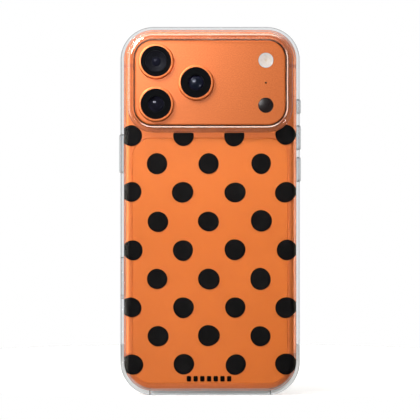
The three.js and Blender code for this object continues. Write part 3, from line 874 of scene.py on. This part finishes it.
def flash():
    """A milky lens with fine Fresnel rings pressed into its face."""
    low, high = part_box("flash_window")
    at = axis_of("flash_window")
    radius = radius_of("flash_window")
    rings = 6
    rim_y = low.y + 0.1 * MM
    profile = [(0, rim_y)]
    for i in range(rings):
        inner = (0.5 + 2.5 * i / rings) * MM
        outer = (0.5 + 2.5 * (i + 1) / rings) * MM
        profile += [(inner, low.y + 0.14 * MM), (outer - 0.06 * MM, low.y + 0.02 * MM)]
    profile += [(radius - 0.25 * MM, low.y + 0.06 * MM), (radius - 0.1 * MM, low.y), (radius, rim_y)]
    profile += [(radius, high.y), (0, high.y)]
    made = piece("flash_window_fine", turned(profile, at), material="flash")
    put(smoothed(made, math.radians(60)), "flash_window")


def depth_window():
    low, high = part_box("depth_scanner_window")
    at = axis_of("depth_scanner_window")
    radius = radius_of("depth_scanner_window")
    profile = [(0, low.y), (radius - 0.2 * MM, low.y), (radius - 0.05 * MM, low.y + 0.05 * MM)]
    profile += [(radius, low.y + 0.15 * MM), (radius, high.y), (0, high.y)]
    made = piece("depth_scanner_window_fine", turned(profile, at), material="scanner")
    put(smoothed(made), "depth_scanner_window")


# ---- the display side
def display():
    """Cover glass with a soft edge, and on it the pill of the sensors with the front camera's eye."""
    low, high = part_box("display_cover_glass")
    sections = [(low.y, 0)] + crown(high.y, 0.55 * MM, 0.35 * MM, 6)
    shape = lofted(grown(PHONE, -1.5 * MM), sections, PHONE_AT)
    glass = piece("display_cover_glass_fine", shape, material="screen")
    put(smoothed(glass), "display_cover_glass")
    top = high.y + 0.012 * MM
    pill_at = Vector((0, 0, middle("front_camera_module").z))
    pill = lofted((20 * MM, 5.6 * MM, 2.79 * MM), [(high.y - 0.1 * MM, 0), (top, 0)], pill_at, 16)
    made = piece("sensor_pill", pill, material="mask")
    add_on(smoothed(made), "phone")
    eye_at = pill_at + Vector((6.2 * MM, 0, 0))
    eye = turned(rod(1.5 * MM, top, top + 0.012 * MM), eye_at, 48)
    made = piece("front_camera_eye", eye, material="wide_coating")
    add_on(smoothed(made), "phone")


# ---- the case
RIM_WIDTH = 2.6 * MM
RIM_FOOT = 0.3 * MM
DISH_Y = PANEL_HIGH.y
PANEL_GAP = 0.225 * MM  # between the flat of the phone's back and the case's back
GUARD = grown(WINDOW, RIM_WIDTH + RIM_FOOT)
PORT_OPENING = (55.6 * MM, 6.4 * MM, 3 * MM)
CONTROL_OPENING = stadium(19.2 * MM, 5.6 * MM)
THROUGH_CASE = [(-1 * MM, 0), (5 * MM, 0)]
SLIT = Vector((0.9, 4.8, 0.6)) * MM  # the size of the slits above and below a cover


def back_panel():
    """The hard back: a shallow dish, with the guard rim swelling up round the camera window."""
    sections = rounded(CASE_BACK_Y, 0.25 * MM, 0.2 * MM, 4) + [(DISH_Y, 0)]
    made = piece("case_back_panel_fine", lofted(PHONE, sections, PHONE_AT))
    inner = [(y - PANEL_GAP, inset - FIT) for y, inset in frame_sections()]
    combined(made, "DIFFERENCE", lofted(PHONE, inner, PHONE_AT))
    rim = rounded(RIM_Y, 1.55 * MM, 1.3 * MM, 11) + cove(CASE_BACK_Y, 0.7 * MM, RIM_FOOT)[1:]
    rim.append((CASE_BACK_Y + 0.3 * MM, -RIM_FOOT))
    combined(made, "UNION", lofted(grown(WINDOW, RIM_WIDTH), rim, PLATEAU_AT))
    hole = [(RIM_Y - 1 * MM, -0.6 * MM), (RIM_Y, -0.6 * MM)]
    hole += [(RIM_Y + 0.45 * MM, -0.04 * MM), (RIM_Y + 0.55 * MM, 0)]
    hole += [(BACK_Y - 0.9 * MM, 0), (BACK_Y - 0.1 * MM, -0.8 * MM), (BACK_Y + 4 * MM, -0.8 * MM)]
    combined(made, "DIFFERENCE", lofted(WINDOW, hole, PLATEAU_AT))
    dressed(made, "panel", "rim", "rim_wall_shade")
    for face in made.data.polygons:
        on_guard = outside_of(GUARD, PLATEAU_AT, face.center.x, face.center.z) < 0
        # the window's inner wall takes the dark tint that paints shade into the gap
        on_shaded_wall = outside_of(WINDOW, PLATEAU_AT, face.center.x, face.center.z) < 0.02 * MM
        face.material_index = 2 if on_shaded_wall else 1 if on_guard else 0
    put(smoothed(made), "case_back_panel")


def cover_window(cover):
    """The opening round a button's cover, as a tool."""
    return on_side(lofted(stadium(extent(cover).z + 0.5 * MM, 5.5 * MM), THROUGH_CASE, steps=14), cover)


def cover_slits(cover):
    """The two short slits that let a cover bend, as tools."""
    low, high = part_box(cover)
    edge = BUMPER_HIGH.x if side_of(cover) > 0 else BUMPER_LOW.x
    places = [Vector((edge, MID_Y, z)) for z in (low.z - 1.5 * MM, high.z + 1.5 * MM)]
    return [slab(at - SLIT / 2, at + SLIT / 2) for at in places]


def bumper():
    """The soft frame round the phone, with its lip and its openings."""
    sections = rounded(CASE_BACK_Y, 1.1 * MM, 1.7 * MM, 9) + crown(LIP_Y, 0.5 * MM, 0.6 * MM, 5)
    made = piece("case_bumper_fine", lofted(CASE, sections, CASE_AT))
    inside = [(DISH_Y + 0.1 * MM, 0), (LIP_Y - 0.3 * MM, 0)]
    inside += [(LIP_Y + 0.1 * MM, -0.25 * MM), (LIP_Y + 1 * MM, -0.25 * MM)]
    behind = [(CASE_BACK_Y - 1 * MM, 0), (DISH_Y + 0.2 * MM, 0)]
    tools = [
        lofted(grown(PHONE, FIT), inside, PHONE_AT),
        lofted(grown(PHONE, 0.05 * MM), behind, PHONE_AT),
        on_bottom(lofted(PORT_OPENING, THROUGH_CASE, steps=14)),
        on_side(lofted(CONTROL_OPENING, THROUGH_CASE, steps=14), "camera_control"),
    ]
    for name in COVERED:
        tools += [cover_window(name + "_cover"), *cover_slits(name + "_cover")]
    combined(made, "DIFFERENCE", *tools)
    put(smoothed(dressed(made, "bumper")), "case_bumper")


def covers():
    """A crowned pad over each button, with the rib on its inner face that presses it."""
    for name in COVERED:
        node = name + "_cover"
        low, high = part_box(node)
        top = max(abs(low.x), abs(high.x)) - FRAME_HIGH.x
        pad = [(FIT + 0.05 * MM, 0)] + crown(top, 0.9 * MM, 0.6 * MM, 7)
        pad_shape = lofted(stadium(high.z - low.z, 5 * MM), pad, steps=14)
        rib = [(0.25 * MM, 0), (FIT + 0.3 * MM, 0)]
        rib_shape = lofted(stadium(cap_length(name) - 1 * MM, 2 * MM), rib, steps=8)
        made = piece(node + "_fine", on_side(pad_shape, node))
        combined(made, "UNION", on_side(rib_shape, node))
        put(smoothed(dressed(made, "bumper")), node)


# ---- the print inside the case's back
ROW_PITCH = 13.02 * MM
TOP_ROW_Z = 118.2 * MM
ROWS = 9
DOT_PITCH = 23.4 * MM
DOTS_SHIFT = -0.45 * MM
DOT_RADIUS = 4.68 * MM
DOT_SAMPLES = 72
DOT_RINGS = 10
INK = 0.03 * MM
INK_GAP = 0.03 * MM
EDGE_WIDTH = 0.45 * MM
PRINT_LIMIT = PHONE[0] / 2 - 0.1 * MM
MARKS_Z = 7.55 * MM  # a short row of plain marks under the last row of dots


def outside_of(size, at, x, z):
    """How far the point (x, z) lies outside a round-cornered rectangle; below 0 inside it."""
    width, height, corner = size
    across = abs(x - at.x) - width / 2 + corner
    along = abs(z - at.z) - height / 2 + corner
    return math.hypot(max(across, 0), max(along, 0)) + min(max(across, along), 0) - corner


def inner_face(x, z):
    """Where the inside of the case's back lies: flat, and rounded like the phone near its edge."""
    inset = FIT - outside_of(PHONE, PHONE_AT, x, z)
    turned_in = max(0.0, BACK_ROUND - inset) / BACK_ROUND
    return BACK_Y - PANEL_GAP + BACK_ROUND * (1 - math.sqrt(max(0.0, 1 - turned_in * turned_in)))


def dot_places(draw):
    """Staggered rows of four and three, each dot a little off the grid as if set by hand."""
    for row in range(ROWS):
        count = 4 if row % 2 == 0 else 3
        for column in range(count):
            x = (column - (count - 1) / 2) * DOT_PITCH + DOTS_SHIFT + draw.uniform(-0.4, 0.4) * MM
            yield Vector((x, 0, TOP_ROW_Z - row * ROW_PITCH + draw.uniform(-0.3, 0.3) * MM))


def blob(draw):
    """A hand-drawn dot: its radius at each angle."""
    radius = DOT_RADIUS * draw.uniform(0.955, 1.045)
    waves = []
    for order, size in ((2, 0.045), (3, 0.02)):
        waves.append((order, draw.uniform(0, size), draw.uniform(0, 2 * math.pi)))

    def radius_at(angle):
        swell = sum(size * math.cos(order * angle + phase) for order, size, phase in waves)
        return radius * (1 + swell)

    return radius_at


def printable(x, z):
    """Whether a point is on the back, inside its edge and outside the foot of the camera guard."""
    on_back = outside_of(PHONE, PHONE_AT, x, z) <= -0.1 * MM
    return on_back and abs(x) <= PRINT_LIMIT and outside_of(GUARD, PLATEAU_AT, x, z) >= 0


def reach(centre, angle, radius):
    """radius, cut back where a point that far out would not be printable."""
    low, high = 0.0, radius
    if printable(centre.x + high * math.cos(angle), centre.z + high * math.sin(angle)):
        return high
    for _ in range(24):
        half = (low + high) / 2
        if printable(centre.x + half * math.cos(angle), centre.z + half * math.sin(angle)):
            low = half
        else:
            high = half
    return low


def dot_shape(centre, radius_at, start):
    """One printed dot, as thin as ink, that follows the inner face: rings of fill and a darker rim."""
    angles = [2 * math.pi * i / DOT_SAMPLES for i in range(DOT_SAMPLES)]
    outer = [reach(centre, angle, radius_at(angle)) for angle in angles]
    fill = [min(radius_at(angle) - EDGE_WIDTH, far) for angle, far in zip(angles, outer)]
    shares = [(i + 1) / DOT_RINGS for i in range(DOT_RINGS)]
    rims = [[far * share for far in fill] for share in shares] + [outer]
    vertices, faces, kinds = [], [], []
    for depth in (INK_GAP, INK_GAP + INK):
        for distances in rims:
            for angle, distance in zip(angles, distances):
                x = centre.x + distance * math.cos(angle)
                z = centre.z + distance * math.sin(angle)
                vertices.append((x, inner_face(x, z) + depth, z))
    count, layer = DOT_SAMPLES, len(rims) * DOT_SAMPLES
    for i in range(count):
        after = (i + 1) % count
        for ring in range(len(rims) - 1):
            for low in (start + ring * count, start + layer + ring * count):
                faces.append((low + i, low + after, low + count + after, low + count + i))
                kinds.append(1 if ring == DOT_RINGS - 1 else 0)
        edge = start + layer - count
        faces.append((edge + i, edge + after, edge + layer + after, edge + layer + i))
        kinds.append(1)
    faces += [tuple(range(start, start + count)), tuple(range(start + layer, start + layer + count))]
    return vertices, faces, kinds + [0, 0]


def printed_dots():
    draw = random.Random(SEED)
    vertices, faces, kinds = [], [], []
    for centre in dot_places(draw):
        more_vertices, more_faces, more_kinds = dot_shape(centre, blob(draw), len(vertices))
        vertices += more_vertices
        faces += more_faces
        kinds += more_kinds
    mesh = bpy.data.meshes.new("printed_dots")
    mesh.from_pydata(vertices, [], faces)
    for name in ("dot_fill", "dot_edge"):
        mesh.materials.append(MATERIALS[name])
    mesh.polygons.foreach_set("material_index", kinds)
    outward(mesh)
    add_on(linked("printed_dots", mesh), "case")


def printed_marks():
    """A short row of plain round-cornered marks."""
    y = BACK_Y - PANEL_GAP + INK_GAP
    mark = (2.0 * MM, 2.5 * MM, 0.5 * MM)
    places = [Vector(((i - 3) * 3.05 * MM - 0.5 * MM, 0, MARKS_Z)) for i in range(7)]
    marks = [lofted(mark, [(y, 0), (y + INK, 0)], at, 4) for at in places]
    made = piece("printed_marks", *marks, material="dot_edge")
    add_on(made, "case")


# ---- CAD nodes that stay as they are
NODE_LOOKS = {
    "steel": ["camera_bracket", "board_shield", "earpiece_speaker", "haptic_housing",
              "port_receptacle", "bottom_screw_left", "bottom_screw_right"],
    "dark_steel": [name + "_camera_module" for name in LENSES] + [name + "_switch" for name in BUTTONS]
                  + ["haptic_weight", "depth_scanner"],
    "copper": ["vapor_chamber", "charging_coil"],
    "magnet": ["magnet_ring", "magnet_bar"],
    "battery": ["battery"],
    "circuit": ["logic_board", "flash_led"],
    "plastic": ["display_panel", "loudspeaker"],
    "barrel": ["front_camera_module"],
    "seal": ["display_seal", "rear_microphone"],
}


def dress_nodes():
    for look, names in NODE_LOOKS.items():
        for name in names:
            dressed(frame["nodes"][name], look)


# ---- floor, light and camera
CAMERA_DISTANCE = 1.06
CAMERA_LENS = 200
CAMERA_X = -0.05 * MM
FRAME_WIDTH = 190.56 * MM  # what the camera takes in at the phone
VIEW_HEIGHT = 84.2 * MM
FLOOR_MIDDLE = (0, 0.2, 0)
FLOOR_RADIUS = 0.7
FLOOR_FADE = (0.192, 0.216)  # the distances from its middle where the floor starts to fade and is gone
FLOOR_LIFT = 0.5  # added where the camera sees it, so that it meets the white surroundings

# The studio that lights the phone and mirrors in it: (towards, reach and edge in degrees, brightness).
STUDIO_BASE = 0.15
SOFTBOXES = (
    ((0, 0.1, 1), 24, 50, 1.0),  # overhead
    ((-1, -0.28, 0.15), 12, 30, 0.5),  # left, a little in front
    ((-0.1, 1, 0.1), 25, 45, 0.75),  # the pale wall behind
    ((0.85, 0.65, 0), 12, 24, 0.6),  # right, behind
)
# Brighter strips that only mirror: they show in glossy faces and add no light elsewhere.
MIRRORED = (
    ((-1, -0.27, 0.1), 20, 33, 2.1),
    ((0, -0.27, 1), 24, 38, 2.1),
)
# Unlit sides, with the share of the light that is left there.
DARK_SIDES = (
    ((0, -1, 0), 25, 55, 0.12),  # the unlit room the camera stands in
    ((1, -0.35, 0.1), 34, 62, 0.2),  # right, in front
    ((0, -0.3, -1), 40, 80, 0.3),  # below the floor's edge
    ((-1, 0.6, 0.05), 18, 42, 0.25),  # left, behind
    ((0, 0.6, 1), 18, 42, 0.35),  # above, behind
)
WHITE = (1, 1, 1)
CREAM = (1, 0.93, 0.76)
WARM = (1, 0.92, 0.8)
AMBER = (1, 0.78, 0.45)


def floor():
    """A pale disc that fades out into the white surroundings."""
    made = piece("floor", turned(rod(FLOOR_RADIUS, -0.1 * MM, -0.05 * MM)))
    made.data.transform(Matrix.Rotation(math.pi / 2, 4, "X"))
    tree = Tree("floor")
    seen = tree.add("LightPath").outputs["Is Camera Ray"]
    pale = tree.principled(
        Base_Color=tree.blend(tree.noise(40, 2), srgb(250, 250, 250), srgb(254, 254, 254)),
        Roughness=0.9,
        Specular_IOR_Level=0.1,
        Emission_Color=(*WHITE, 1),
        Emission_Strength=tree.maths("MULTIPLY", seen, FLOOR_LIFT),
    )
    fade = tree.span(tree.distance(FLOOR_MIDDLE), 0, 1, *FLOOR_FADE)
    made.data.materials.append(tree.finish(tree.mixed(fade, pale, tree.see_through((*WHITE, 1)))))


def lobe(tree, towards, aim, inside, outside, height):
    """height within inside degrees of aim, falling smoothly to 0 at outside degrees."""
    feed = {0: towards, 1: Vector(aim).normalized()}
    turn = tree.add("VectorMath", feed, operation="DOT_PRODUCT").outputs["Value"]
    ends = {"From Min": math.cos(math.radians(outside)), "From Max": math.cos(math.radians(inside))}
    fall = tree.add("MapRange", {"Value": turn, **ends}, interpolation_type="SMOOTHSTEP")
    return tree.maths("MULTIPLY", fall.outputs["Result"], height)


def background(tree, strength, colour):
    return tree.add("Background", {"Color": (*colour, 1), "Strength": strength}).outputs[0]


def surroundings():
    """White to the camera; to everything else a studio of softboxes and unlit sides."""
    tree = Tree("studio", bpy.data.worlds)
    towards = tree.add("TexCoord").outputs["Generated"]
    path = tree.add("LightPath")
    light = STUDIO_BASE
    for softbox in SOFTBOXES:
        light = tree.maths("ADD", lobe(tree, towards, *softbox), light)
    for aim, inside, outside, share in DARK_SIDES:
        lost = lobe(tree, towards, aim, inside, outside, 1 - share)
        light = tree.maths("MULTIPLY", light, tree.maths("SUBTRACT", 1.0, lost))
    strips = 0.0
    for strip in MIRRORED:
        strips = tree.maths("MAXIMUM", lobe(tree, towards, *strip), strips)
    strips = tree.maths("MULTIPLY", strips, path.outputs["Is Glossy Ray"])
    studio = tree.add("AddShader", {0: background(tree, light, WHITE), 1: background(tree, strips, CREAM)})
    shader = tree.mixed(path.outputs["Is Camera Ray"], studio.outputs[0], background(tree, 1.0, WHITE))
    world = tree.finish(shader, "OutputWorld")
    world.cycles.sampling_method = "NONE"  # the studio is found by bounced rays, which the plastics bend
    bpy.context.scene.world = world


def lamp(name, place, aim, size, power, spread=180, mirrored=True, colour=WHITE):
    """A rectangular lamp, in metres, watts and degrees.

    One that isn't mirrored makes its highlights by direct light alone, also behind clear plastic."""
    light = bpy.data.lights.new(name, "AREA")
    light.shape = "RECTANGLE"
    light.size, light.size_y = size
    light.energy = power
    light.color = colour
    light.spread = math.radians(spread)
    light.cycles.use_multiple_importance_sampling = mirrored
    made = linked(name, light)
    made.location = place
    made.rotation_euler = (Vector(aim) - Vector(place)).to_track_quat("-Z", "Y").to_euler()
    made.visible_camera = False
    made.visible_transmission = False  # the clear plastics already let the lamps' light through


def lamps():
    lamp("key", (-0.2, -0.22, 0.36), (-0.02, 0, 0.15), (0.1, 0.1), 0.22, 75)
    lamp("glow", (-0.088, -0.36, 0.218), (-0.025, 0, 0.16), (0.06, 0.06), 0.043, 60)
    lamp("left_strip", (-0.4, -0.11, 0.085), (0, 0, 0.085), (0.05, 0.34), 0.18, 180, False, WARM)
    lamp("top_strip", (-0.02, -0.1, 0.52), (0, 0, 0.16), (0.3, 0.05), 0.3, 180, False)
    lamp("right_strip", (0.385, 0.2, 0.085), (0.03, 0, 0.085), (0.04, 0.34), 0.5, 180, False, AMBER)
    lamp("low_fill", (-0.16, -0.3, 0.02), (0, 0, 0.015), (0.06, 0.06), 0.0135, 34)
    lamp("glint", (0.17, -0.3, 0.03), (-0.02, 0, 0.15), (0.035, 0.035), 0.005, 40)


def camera():
    data = bpy.data.cameras.new("camera")
    data.lens = CAMERA_LENS
    data.sensor_width = FRAME_WIDTH / CAMERA_DISTANCE * CAMERA_LENS
    made = linked("camera", data)
    made.location = (CAMERA_X, -CAMERA_DISTANCE + CASE_BACK_Y, VIEW_HEIGHT)
    made.rotation_euler = (math.pi / 2, 0, 0)
    bpy.context.scene.camera = made


camera()
surroundings()
lamps()
floor()
unibody()
antenna_bands()
back_glass()
button_caps()
for lens in LENSES:
    lens_ring(lens)
    lens_window(lens)
    lens_barrel(lens)
flash()
depth_window()
display()
back_panel()
bumper()
covers()
printed_dots()
printed_marks()
dress_nodes()
bpy.context.scene.view_settings.view_transform = "Standard"
